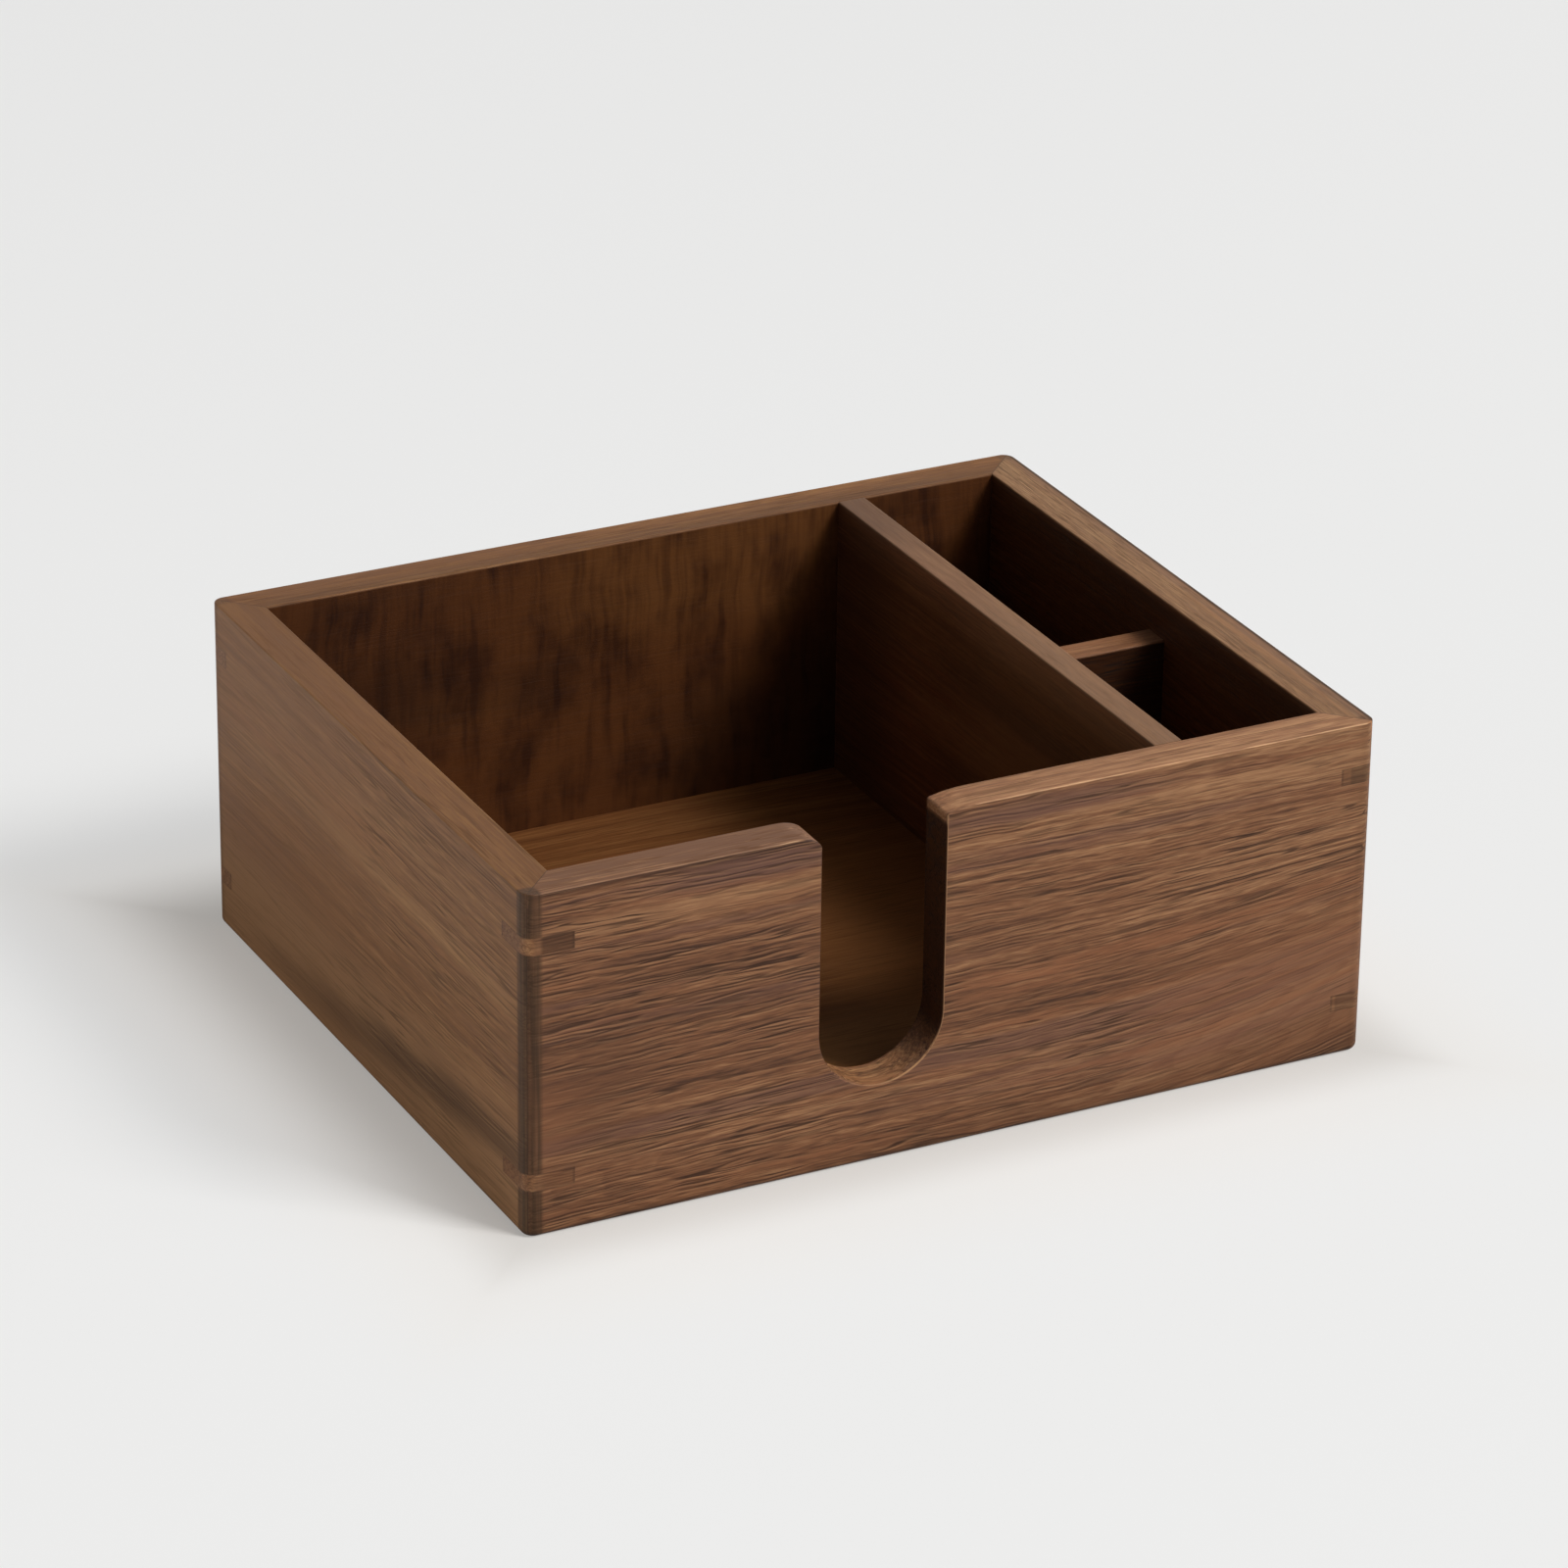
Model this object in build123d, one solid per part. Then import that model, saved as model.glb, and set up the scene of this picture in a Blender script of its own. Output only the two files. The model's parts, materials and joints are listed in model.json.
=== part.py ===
"""Open walnut napkin box: mitred walls with corner keys, a let-in floor and two fixed dividers.

Millimetres. The origin is the middle of the base on the table, +X runs to the right seen from the front,
the front wall faces -Y and +Z is up.
"""
from build123d import *
import os

# Box
box_width = 254.0
box_depth = 210.0
box_height = 100.0
wall = 12.0
corner_radius = 3.5
foot_radius = 2.0
arris_radius = 0.4

# Floor, let into a groove round the four walls, with room at its edges for the wood to move
floor_thickness = 6.0
floor_recess = 9.0
groove_depth = 5.0
floor_edge_gap = 0.5

# Long divider, from the front wall to the back wall, flush with the rim, its housings stopped below it
napkin_bay_width = 179.5
long_divider_thickness = 8.5
long_housing_depth = 4.0
long_housing_stop = 10.0

# Cross divider, from the long divider to the right wall, below the rim
cross_divider_thickness = 9.0
cross_divider_drop = 12.0
cross_housing_depth = 3.0
front_side_bay_depth = 82.8

# Finger notch in the front wall, a little to the right of the napkin bay's middle. Its left lip is rounded over
# and its right lip dips gently to a corner
notch_width = 36.8
notch_sill = 23.0
notch_shift = 2.2
notch_left_lip_run = 8.0
notch_left_lip_drop = 4.0
notch_right_lip_run = 11.0
notch_right_lip_drop = 1.3
notch_right_lip_radius = 0.9

# Keys across the mitres, measured along each face from the corner; the front left slots are cut deeper
key_thickness = 5.0
key_reach = 10.5
key_reach_front_left = 14.2
key_upper_drop = 15.0
key_lower_rise = 16.3

# Every cut runs past the faces that it opens by this much
overrun = 5.0

# Places that follow from the sizes above
half_width = box_width / 2
half_depth = box_depth / 2
inner_half_width = half_width - wall
inner_half_depth = half_depth - wall
floor_top = floor_recess + floor_thickness
long_left = napkin_bay_width - inner_half_width
long_right = long_left + long_divider_thickness
cross_front = front_side_bay_depth - inner_half_depth
cross_back = cross_front + cross_divider_thickness
cross_top = box_height - cross_divider_drop
notch_middle = (long_left - inner_half_width) / 2 + notch_shift
notch_radius = notch_width / 2
key_heights = {"upper": box_height - key_upper_drop, "lower": key_lower_rise}


def block(x0, x1, y0, y1, z0, z1):
    """A straight block between two opposite corners."""
    return Pos((x0 + x1) / 2, (y0 + y1) / 2, (z0 + z1) / 2) * Box(x1 - x0, y1 - y0, z1 - z0)


def edges_at_height(solid, z):
    """The level edges of a solid at one height."""
    return solid.edges().filter_by_position(Axis.Z, z, z)


def envelope():
    """The outside of the box as one solid, with its rounded corners and foot."""
    solid = block(-half_width, half_width, -half_depth, half_depth, 0, box_height)
    solid = fillet(solid.edges().filter_by(Axis.Z), corner_radius)
    return fillet(edges_at_height(solid, 0), foot_radius)


def notch_cutter():
    """The finger notch through the front wall: a half-round sill, straight sides and rounded lips."""
    sill_centre = notch_sill + notch_radius
    left_lip_start = box_height - notch_left_lip_drop
    left_lip_end = -notch_radius - notch_left_lip_run
    right_lip_start = box_height - notch_right_lip_drop
    right_lip_end = notch_radius + notch_right_lip_run
    mouth = box_height + overrun
    with BuildSketch(Plane.XZ) as profile:
        with BuildLine():
            Polyline(
                (right_lip_end, box_height), (right_lip_end, mouth), (left_lip_end, mouth), (left_lip_end, box_height)
            )
            EllipticalCenterArc(
                (left_lip_end, left_lip_start), notch_left_lip_run, notch_left_lip_drop, arc_size=90
            )
            Line((-notch_radius, left_lip_start), (-notch_radius, sill_centre))
            ThreePointArc((-notch_radius, sill_centre), (0, notch_sill), (notch_radius, sill_centre))
            Line((notch_radius, sill_centre), (notch_radius, right_lip_start))
            TangentArc((right_lip_end, box_height), (notch_radius, right_lip_start), tangent=(-1, 0))
        make_face()
        right_lip = profile.vertices().sort_by_distance((notch_radius, right_lip_start))[0]
        fillet(right_lip, notch_right_lip_radius)
    cutter = extrude(profile.sketch, wall + overrun, both=True)
    return Pos(notch_middle, wall / 2 - half_depth, 0) * cutter


def ease_arrises(ring):
    """Round the sharp edges of the rim and of the notch, which run into each other over the notch's lips."""
    middle_of_front = wall / 2 - half_depth
    across_front = notch_radius + max(notch_left_lip_run, notch_right_lip_run)
    rim = [edge for edge in edges_at_height(ring, box_height) if abs(edge.center().Y - middle_of_front) > arris_radius]
    notch = [
        edge
        for y in (-half_depth, -inner_half_depth)
        for edge in ring.edges().filter_by_position(Axis.Y, y, y)
        if abs(edge.center().X - notch_middle) < across_front and edge.center().Z > floor_top
    ]
    return fillet(rim + notch, arris_radius)


def long_divider_blank():
    """The long divider with a stopped tongue at each end."""
    solid = block(long_left, long_right, -inner_half_depth, inner_half_depth, floor_top, box_height)
    solid = fillet(edges_at_height(solid, box_height).filter_by(Axis.Y), arris_radius)
    tongue_end = inner_half_depth + long_housing_depth
    tongue_top = box_height - long_housing_stop
    return solid + block(long_left, long_right, -tongue_end, tongue_end, floor_top, tongue_top)


def cross_divider_blank():
    """The cross divider, whose ends are housed in the long divider and the right wall."""
    left_end = long_right - cross_housing_depth
    right_end = inner_half_width + cross_housing_depth
    solid = block(left_end, right_end, cross_front, cross_back, floor_top, cross_top)
    return fillet(edges_at_height(solid, cross_top).filter_by(Axis.X), arris_radius)


def cross_housing():
    """The space that both housings of the cross divider are cut to."""
    left_end = long_right - cross_housing_depth
    right_end = inner_half_width + cross_housing_depth
    return block(left_end, right_end, cross_front, cross_back, floor_top, cross_top)


def long_housing():
    """The space that both housings of the long divider are cut to."""
    end = inner_half_depth + long_housing_depth
    return block(long_left, long_right, -end, end, floor_top, box_height - long_housing_stop)


def floor_groove():
    """The space that the groove round the four walls is cut to."""
    x = inner_half_width + groove_depth
    y = inner_half_depth + groove_depth
    return block(-x, x, -y, y, floor_recess, floor_top)


def floor_panel():
    """The floor, short of the bottom of its groove on every side."""
    x = inner_half_width + groove_depth - floor_edge_gap
    y = inner_half_depth + groove_depth - floor_edge_gap
    return block(-x, x, -y, y, floor_recess, floor_top)


def mitre_wedge(half_run, half_span):
    """The space between the two mitres of a wall that runs along X on the -Y side."""
    outside = half_span + overrun
    inside = half_span - wall - overrun
    wide = half_run + overrun
    narrow = half_run - wall - overrun
    outline = Polygon((-wide, -outside), (wide, -outside), (narrow, -inside), (-narrow, -inside), align=None)
    return Pos(0, 0, -overrun) * extrude(outline, box_height + 2 * overrun)


def key_slot(side_x, side_y, reach, height):
    """The slot of one key: a level triangle across a corner, open on both faces."""
    corner = Pos(side_x * half_width, side_y * half_depth, height - key_thickness / 2)
    far = reach + overrun
    points = [(-overrun, -overrun), (far, -overrun), (-overrun, far)]
    outline = Polygon(*[(-side_x * x, -side_y * y) for x, y in points], align=None)
    return corner * extrude(outline, key_thickness, dir=Axis.Z.direction)


def build():
    """Every piece of the box by name."""
    outside = envelope()
    hollow = block(
        -inner_half_width, inner_half_width, -inner_half_depth, inner_half_depth, -overrun, box_height + overrun
    )
    slots = {}
    for back, side_y in (("front", -1), ("back", 1)):
        for left, side_x in (("left", -1), ("right", 1)):
            reach = key_reach_front_left if (back, left) == ("front", "left") else key_reach
            for level, height in key_heights.items():
                slots[f"key_{back}_{left}_{level}"] = key_slot(side_x, side_y, reach, height)
    walls = ease_arrises(outside - hollow - notch_cutter())
    walls = walls - floor_groove() - long_housing() - cross_housing() - list(slots.values())
    across = mitre_wedge(half_width, half_depth)
    along = mitre_wedge(half_depth, half_width)
    pieces = {
        "front_panel": walls & across,
        "back_panel": walls & Rot(0, 0, 180) * across,
        "left_panel": walls & Rot(0, 0, -90) * along,
        "right_panel": walls & Rot(0, 0, 90) * along,
        "bottom_panel": floor_panel(),
        "long_divider": long_divider_blank() - cross_housing(),
        "cross_divider": cross_divider_blank(),
    }
    for name, slot in slots.items():
        pieces[name] = outside & slot
    return pieces


os.makedirs("parts", exist_ok=True)
for name, piece in build().items():
    piece.label = name
    export_step(piece, f"parts/{name}.step")
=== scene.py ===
"""Walnut napkin box: the grain and finish of every board, with painted light and shade on its rims,
edges, notch, foot and inside, and the studio that shows it.

Metres. The origin is the middle of the base on the table, +X runs to the right seen from the front,
the front wall faces -Y and +Z is up. Grain and marks are worked out in millimetres. Each board has
its own space: run along the grain, height across it and depth through the board.
"""
import json
import math
from typing import NamedTuple

import bmesh
import bpy
from bpy.props import FloatProperty, FloatVectorProperty, PointerProperty
from mathutils import Matrix, Vector


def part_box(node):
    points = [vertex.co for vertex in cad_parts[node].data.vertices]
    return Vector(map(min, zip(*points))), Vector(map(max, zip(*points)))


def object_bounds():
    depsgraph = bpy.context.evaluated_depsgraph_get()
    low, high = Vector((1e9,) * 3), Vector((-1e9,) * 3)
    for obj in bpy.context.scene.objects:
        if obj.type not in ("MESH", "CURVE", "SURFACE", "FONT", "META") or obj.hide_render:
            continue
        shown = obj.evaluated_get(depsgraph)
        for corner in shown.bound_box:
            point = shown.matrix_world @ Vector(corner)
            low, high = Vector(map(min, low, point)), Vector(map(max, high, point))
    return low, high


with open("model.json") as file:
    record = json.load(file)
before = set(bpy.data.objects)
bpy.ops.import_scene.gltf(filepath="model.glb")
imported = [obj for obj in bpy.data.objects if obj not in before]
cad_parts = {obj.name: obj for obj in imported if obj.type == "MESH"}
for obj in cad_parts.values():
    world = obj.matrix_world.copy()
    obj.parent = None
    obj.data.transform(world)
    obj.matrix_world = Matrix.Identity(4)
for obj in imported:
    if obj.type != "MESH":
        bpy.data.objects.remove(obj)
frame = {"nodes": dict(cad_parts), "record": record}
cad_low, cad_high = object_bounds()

bl_info = {
    "name": "Walnut napkin box",
    "version": (1, 0, 0),
    "blender": (4, 5, 0),
    "location": "3D View > Sidebar > Napkin box",
    "description": "Finishes the boards of a walnut napkin box and sets up its studio",
    "category": "Material",
}

mm = 0.001
X_AXIS = Vector((1, 0, 0))
Y_AXIS = Vector((0, 1, 0))
Z_AXIS = Vector((0, 0, 1))

# Places read from the frame, in millimetres
half_width = cad_high.x / mm
half_depth = cad_high.y / mm
box_height = cad_high.z / mm
front_low, front_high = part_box("front_panel")
wall = (front_high.y - front_low.y) / mm
cross_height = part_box("cross_divider")[1].z / mm
openings = {opening["name"]: opening["box_m"] for opening in frame["record"]["physics"]["openings"]}
notch_low, notch_high = openings["finger_notch"]
notch_clearance = 0.5
notch_middle = (notch_low[0] + notch_high[0]) / 2 / mm
notch_radius = (notch_high[0] - notch_low[0]) / 2 / mm + notch_clearance
notch_centre_height = notch_low[2] / mm

# Sizes of the grain, in millimetres. A pair is where a soft step begins and where it ends
arch_start = 15
arch_heights = (20, 95)
lines_turn = (-60, 50)
thread_heights = (30, 95)
pore_highlight_drop = 0.5
streak_fade = 18
dent_depth = 0.12

# Shares and strengths in the wood
middle_level = 0.53
streak_core = 0.3
wander_through = 0.6
late_wood = (0.55, 0.93)
late_darkness = 0.1
most_drawn_out = 1.15
pore_highlight_strength = 0.45
pore_strength = 0.95
fibre_dent = 0.25
dent_strength = 0.3
plain_roughness = 0.5
pore_roughness = 0.14
fibre_roughness = 0.12

# Sizes of the marks, in millimetres, again with pairs for soft steps
face_step = (0.4, 0.8)
inside_step = (0.3, 1.0)
rim_step = (0.1, 0.4)
rim_depth = (0.6, 1.2)
highlight_step = (0.228, 0.38)
slope_start = -1
arris_step = (0.9, 1.5)
lip_drop = 3.5
end_step = (3.9, 5.5)
end_depth = (3, 6)
mitre_step = (0.12, 0.3)
foot_shade_step = (0.44, 2.2)
notch_edge_step = (0.304, 0.494)
notch_edge_side = (-6, 12)
notch_step = (0.05, 0.35)
cheek_foot = (29, 37)
cheek_drop = 5
sill_step = (25, 31)
shade_start_step = (-0.5, 1)
shade_end_step = (-0.4, 0.4)
key_face_step = (0.5, 1.0)
key_rounding_step = (1.5, 3.5)
key_line = 0.45

# Shares and strengths in the marks
rim_calm = 0.35
inside_calm = 0.93
end_calm = 0.6
end_level = 0.85
mitre_strength = 0.55
notch_edge_strength = 0.8
key_line_core = 0.3
key_line_strength = 0.35


# Properties


def length(name, description, default):
    """A size in metres that a user can change."""
    return FloatProperty(name=name, description=description, default=default, unit="LENGTH", precision=5)


def angle(name, description, degrees):
    """An angle that a user can change, given in degrees."""
    radians = math.radians(degrees)
    return FloatProperty(name=name, description=description, default=radians, subtype="ANGLE")


def share(name, description, default):
    """A plain number that a user can change."""
    return FloatProperty(name=name, description=description, default=default, precision=4)


def numbers(name, description, default):
    """A few plain numbers that a user can change."""
    return FloatVectorProperty(
        name=name, description=description, default=default, size=len(default), precision=3
    )


def colour(name, description, default):
    """A colour that a user can change, in linear light."""
    return FloatVectorProperty(
        name=name, description=description, default=default, size=3, subtype="COLOR", min=0, max=3
    )


def grain_properties(
    shift, heart, ring_gap=2.1, bend=0.0, dive=0.0, wander=5.0, ripple=0.7, tone=(1, 1, 1), fade=0.0,
    streaks=1.0, fibres=1.0, rings=1.0, pores=1.0, lines=(0.5, 0.5), figure=0.0, inside=(0.6, 0.45, 0.32),
    rim=(1.5, 1.45, 1.2), ends=(0.4, 0.4), worn=0.0, arris=0.0, slope=0.0, gloss=0.18,
):
    """How one board was cut from its tree, as properties. Sizes are in millimetres of board space."""
    return {
        "shift": numbers("Shift", "Where in the tree the board was cut, in mm", shift),
        "heart": numbers("Heart", "Height and depth of the middle of the tree, in mm", heart),
        "ring_gap": share("Ring gap", "Distance between growth rings, in mm", ring_gap),
        "bend": share("Bend", "Curve of the grain low on the board, per mm", bend),
        "dive": share("Dive", "Curve of the grain through the board, per mm", dive),
        "wander": share("Wander", "Slow wander of the grain, in mm", wander),
        "ripple": share("Ripple", "Short waves of the grain, in mm", ripple),
        "tone": colour("Tone", "Tint of the whole board", tone),
        "fade": share("Fade", "How much lighter the board gets per metre of its length", fade),
        "streaks": share("Streaks", "Strength of the streaks of colour", streaks),
        "fibres": share("Fibres", "Strength of the fine fibres", fibres),
        "rings": share("Rings", "Strength of the growth rings", rings),
        "pores": share("Pores", "Strength of the open pores", pores),
        "lines": numbers("Lines", "How far the pores run into long lines at the low and high end", lines),
        "figure": share("Figure", "Strength of the curl across the grain inside the box", figure),
        # Painted shade: the inside tint darkens the faces inside the box
        "inside": colour("Inside", "Tint of the faces inside the box", inside),
        # Painted light: the rim tint shows the upper edge as lit from above
        "rim": colour("Rim", "Tint of the upper edge", rim),
        # Partly painted shade: the ends pair sets the end grain darker at the corners away from the key
        # lamp
        "ends": numbers("Ends", "How dark the end grain shows at the low and high end", ends),
        # Painted highlight: how pale the rim's edges are, as if catching the light
        "worn": share("Worn", "How pale the edges of the rim are worn", worn),
        # Painted shade: how dark the rim's outer edge is
        "arris": share("Arris", "How dark the outer edge of the rim is", arris),
        "slope": share("Slope", "How much paler the rim gets towards the outside", slope),
        "gloss": share("Gloss", "Strength of the shine", gloss),
    }


class WalnutColours(bpy.types.PropertyGroup):
    """The colours that all the boards share."""

    heart: colour("Heartwood", "Darkest brown between the pores", (0.060, 0.026, 0.0135))
    brown: colour("Brown", "Main colour of the wood", (0.156, 0.067, 0.030))
    tan: colour("Tan", "Lightest streaks", (0.310, 0.164, 0.080))
    plum: colour("Plum", "Cool streaks", (0.106, 0.051, 0.037))
    ember: colour("Ember", "Warm streaks", (0.218, 0.087, 0.038))
    pore: colour("Pore", "Inside of the open pores", (0.030, 0.012, 0.006))
    # End grain at the corners, darkened partly as painted shade
    end_grain_and_shade: colour("End grain", "Tint of the end grain at the corners", (0.34, 0.37, 0.35))
    joint: colour("Joint", "Glue lines", (0.030, 0.015, 0.009))
    curl: colour("Curl", "Tint of the dark curl across the grain", (0.36, 0.3, 0.26))
    # Painted shade: the lower edge of the walls is tinted darker, where the rounded foot is in shadow
    foot_shade: colour("Foot", "Tint of the lower edge of the walls", (0.6, 0.58, 0.56))
    # Painted highlight: the edge tint stands for light caught on the rounded edges
    edge: colour("Edge", "Tint of the worn edges", (1.4, 1.6, 1.75))
    # Painted shade: a dark line along the rim's outer edge
    arris: colour("Arris", "Tint of the dark outer edges of the rim", (0.3, 0.26, 0.24))
    slope: colour("Slope", "Tint of the outer side of a rim that pales outwards", (1.6, 1.6, 1.7))
    # Painted shade on the sides of the notch and painted light on its bottom
    cheek_shade: colour("Cheek", "Tint of the sides of the notch", (0.134, 0.078, 0.03))
    sill_light: colour("Sill", "Tint of the bottom of the notch", (1.48, 1.52, 1.4))
    key_rounding: colour("Key rounding", "Tint of the keys where they wrap the corner", (1.3, 1.3, 1.25))


class FrontGrain(bpy.types.PropertyGroup):
    """Grain of the front panel, arching low on the right."""

    __annotations__ = grain_properties(
        shift=(40, 12, 0), heart=(12, 80), bend=0.0011, dive=0.0006, fade=0.65, ripple=0.85, fibres=1.35,
        lines=(1.0, 0.85), tone=(0.97, 0.935, 0.91), rim=(1.9, 2.0, 2.05), ends=(1.0, 0.1), worn=1.0,
    )


class BackGrain(bpy.types.PropertyGroup):
    """Grain of the back panel, with a curl that shows inside the box."""

    __annotations__ = grain_properties(
        shift=(410, 65, 20), heart=(20, -170), pores=0.7, streaks=0.7, figure=1.0, lines=(0.6, 0.6),
        inside=(0.45, 0.325, 0.165), rim=(0.86, 0.78, 0.48), slope=1.0,
    )


class LeftGrain(bpy.types.PropertyGroup):
    """Grain of the left panel, quiet and close."""

    __annotations__ = grain_properties(
        shift=(-320, 130, 60), heart=(180, -60), pores=0.65, streaks=0.45, fibres=0.75, rings=0.4,
        ripple=0.4, lines=(0.95, 0.8), tone=(1.12, 1.13, 0.95), rim=(1.03, 0.98, 0.76), ends=(1.0, 0.4),
        worn=0.5,
    )


class RightGrain(bpy.types.PropertyGroup):
    """Grain of the right panel, with painted shade on its inside faces and along the outer edge of its
    rim.
    """

    __annotations__ = grain_properties(
        shift=(730, -90, 35), heart=(60, 60), bend=-0.0003, dive=0.0004, pores=0.9,
        inside=(0.36, 0.26, 0.15), rim=(1.7, 1.96, 1.94), arris=1.0,
    )


class FloorGrain(bpy.types.PropertyGroup):
    """Grain of the floor, which hardly shines."""

    __annotations__ = grain_properties(
        shift=(-150, 300, 90), heart=(-40, -45), wander=9, pores=0.4, fibres=0.5,
        inside=(0.84, 0.72, 0.51), gloss=0.03,
    )


class LongDividerGrain(bpy.types.PropertyGroup):
    """Grain of the long divider."""

    __annotations__ = grain_properties(
        shift=(900, 220, -40), heart=(10, 40), dive=0.0003, pores=0.4, fibres=0.6,
        inside=(1.0, 0.86, 0.69), rim=(1.33, 1.45, 1.5),
    )


class CrossDividerGrain(bpy.types.PropertyGroup):
    """Grain of the cross divider, whose faces are tinted very dark as painted shade."""

    __annotations__ = grain_properties(
        shift=(-640, -210, 15), heart=(30, 55), inside=(0.17, 0.11, 0.065), rim=(1.3, 1.2, 1.05)
    )


class KeyGrain(bpy.types.PropertyGroup):
    """Grain of the corner keys, across each corner."""

    __annotations__ = grain_properties(
        shift=(60, 40, 25), heart=(60, 10), tone=(0.96, 0.96, 0.92), pores=0.5, streaks=0.4, wander=1
    )


class PhotoCamera(bpy.types.PropertyGroup):
    """Where the camera stands."""

    eye: FloatVectorProperty(
        name="Eye", description="Place of the camera", default=(-0.78251, -1.53509, 0.87031),
        size=3, subtype="TRANSLATION", unit="LENGTH",
    )
    azimuth: angle("Azimuth", "Turn of the view to the right of the front", -27.0256)
    elevation: angle("Elevation", "How far the camera looks down", 25.1329)
    roll: angle("Roll", "Lean of the camera", 0.7735)
    lens: FloatProperty(name="Lens", description="Focal length", default=157.353, unit="CAMERA")


class StudioSettings(bpy.types.PropertyGroup):
    """Floor and light."""

    floor_colour: colour("Floor", "Colour of the floor", (0.89, 0.89, 0.882))
    backdrop_colour: colour("Backdrop", "What the camera sees beyond the floor", (0.88, 0.88, 0.874))
    floor_reach: length("Floor reach", "From the middle of the floor to its sides", 6.0)
    # Painted light: the floor glows for the camera by these shares, lightening the box's shadow, more so
    # farther off
    floor_lift: share("Floor lift", "Share of the floor by the box that is seen without shadow", 0.38)
    far_lift: share("Far lift", "Share of the floor farther off that is seen without shadow", 0.67)
    lift_reach: share("Lift reach", "From the box to the floor farther off, in mm", 42)
    # Painted light: a warm tint near the box stands for light bounced off the wood
    bounce_tint: colour("Warm tint", "Tint of the lit floor close to the box", (1, 0.965, 0.925))
    bounce_reach: share("Warm reach", "How far from the box the warm tint goes, in mm", 70)
    # Painted shadow: the floor's colour is darker close to the box
    shade_tint: colour("Shade tint", "Tint of the shaded floor close to the box", (0.7, 0.675, 0.65))
    shade_reach: share("Shade reach", "How far from the box the shade tint goes, in mm", 26)
    ambient: share("Ambient", "Strength of the light from all round", 0.03)
    key_azimuth: angle("Key azimuth", "Turn of the key lamp to the right of the front", 38)
    key_elevation: angle("Key elevation", "Height of the key lamp", 44)
    key_distance: length("Key distance", "From the box to the key lamp", 8.0)
    key_size: length("Key size", "Width of the key lamp", 2.4)
    key_power: share("Key power", "Watts of the key lamp", 570)
    wash_size: length("Wash size", "Width of the wide lamp round the key lamp", 7.0)
    wash_power: share("Wash power", "Watts of the wide lamp round the key lamp", 210)
    card_width: length("Card width", "Width of the low cards", 0.9)
    card_height: length("Card height", "Height of the low cards", 0.16)
    left_azimuth: angle("Left card azimuth", "Turn of the left card to the right of the front", -100)
    left_elevation: angle("Left card elevation", "Height of the left card", 2)
    left_distance: length("Left card distance", "From the box to the left card", 1.0)
    left_power: share("Left card power", "Watts of the left card", 3.4)
    front_azimuth: angle("Front card azimuth", "Turn of the front card to the right of the front", -5)
    front_elevation: angle("Front card elevation", "Height of the front card", 5)
    front_distance: length("Front card distance", "From the box to the front card", 1.2)
    front_power: share("Front card power", "Watts of the front card", 1.0)


class NapkinBox(bpy.types.PropertyGroup):
    """Everything that a user can change."""

    colours: PointerProperty(type=WalnutColours)
    front: PointerProperty(type=FrontGrain)
    back: PointerProperty(type=BackGrain)
    left: PointerProperty(type=LeftGrain)
    right: PointerProperty(type=RightGrain)
    floor: PointerProperty(type=FloorGrain)
    long_divider: PointerProperty(type=LongDividerGrain)
    cross_divider: PointerProperty(type=CrossDividerGrain)
    keys: PointerProperty(type=KeyGrain)
    camera: PointerProperty(type=PhotoCamera)
    studio: PointerProperty(type=StudioSettings)


# Noise and placed marks


class Patch(NamedTuple):
    """A kind of noise in the wood, in patches of a length and a width in millimetres.

    The noise is read at a shift from the board's own place. Where it is used as a cover, it covers
    nothing at low and everything at high. The weight says how strongly it shows.
    """

    along: float
    across: float
    detail: float = 1.0
    roughness: float = 0.5
    weight: float = 1.0
    low: float = 0.0
    high: float = 1.0
    shift: tuple = (0, 0, 0)


# Way of the grain
WANDER = Patch(180, 50, 0)
LONG_RIPPLE = Patch(34, 9)
SHORT_RIPPLE = Patch(13, 3.5, weight=1.3)
RING_WIDTH = Patch(150, 13, 2, weight=4)

# Colour along the grain
BAND = Patch(280, 22, weight=0.45)
LONG_STREAK = Patch(170, 4.2, 3, 0.6, weight=0.75)
STRAND = Patch(60, 1.3, 2, 0.6, weight=0.6)
FIBRE = Patch(9, 0.55, 2, 0.7, weight=0.75)
COOL = Patch(260, 8, 2, weight=0.55, low=0.03, high=0.2, shift=(90, 40, 170))
WARM = Patch(220, 5, 2, weight=0.5, low=0.05, high=0.22, shift=(500, 170, 90))

# Open pores
RIDGE = Patch(50, 1.9, 0.7, low=0.012, high=0.055, shift=(150, 330, 40))
THIN_LINE = Patch(24, 0.6, 0.5, weight=0.75, low=0.05, high=0.12)
WHOLE_LINE = Patch(20, 2, low=-0.12, high=0.05, shift=(70, 510, 20))
DASH = Patch(12, 0.5, weight=0.8, low=0.07, high=0.13)
HAIR = Patch(6, 0.4, weight=0.45, low=0.06, high=0.13)
CROWD = Patch(90, 10, weight=0.55, low=-0.22, high=0.12, shift=(0, 40, 200))

# Curl across the grain, end grain, and gaps in the painted highlight on edges
SWAY = Patch(60, 24, weight=6)
STROKE = Patch(34, 4, 2, 0.6, weight=0.6, low=-0.05, high=0.28)
THREAD = Patch(24, 1.1, weight=0.85)
BLOTCH = Patch(24, 15, 3, 0.62, weight=1.05, low=-0.12, high=0.3)
END_FIBRE = Patch(30, 0.9, weight=1.2)
HIGHLIGHT_PATCHES = Patch(30, 30, low=-0.25, high=0.05)


class Streak(NamedTuple):
    """A band of colour along the grain, at a given place. Sizes are in millimetres of board space."""

    tint: str
    height: float
    half_height: float
    start: float
    end: float
    strength: float
    calm: float = 0.0


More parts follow.
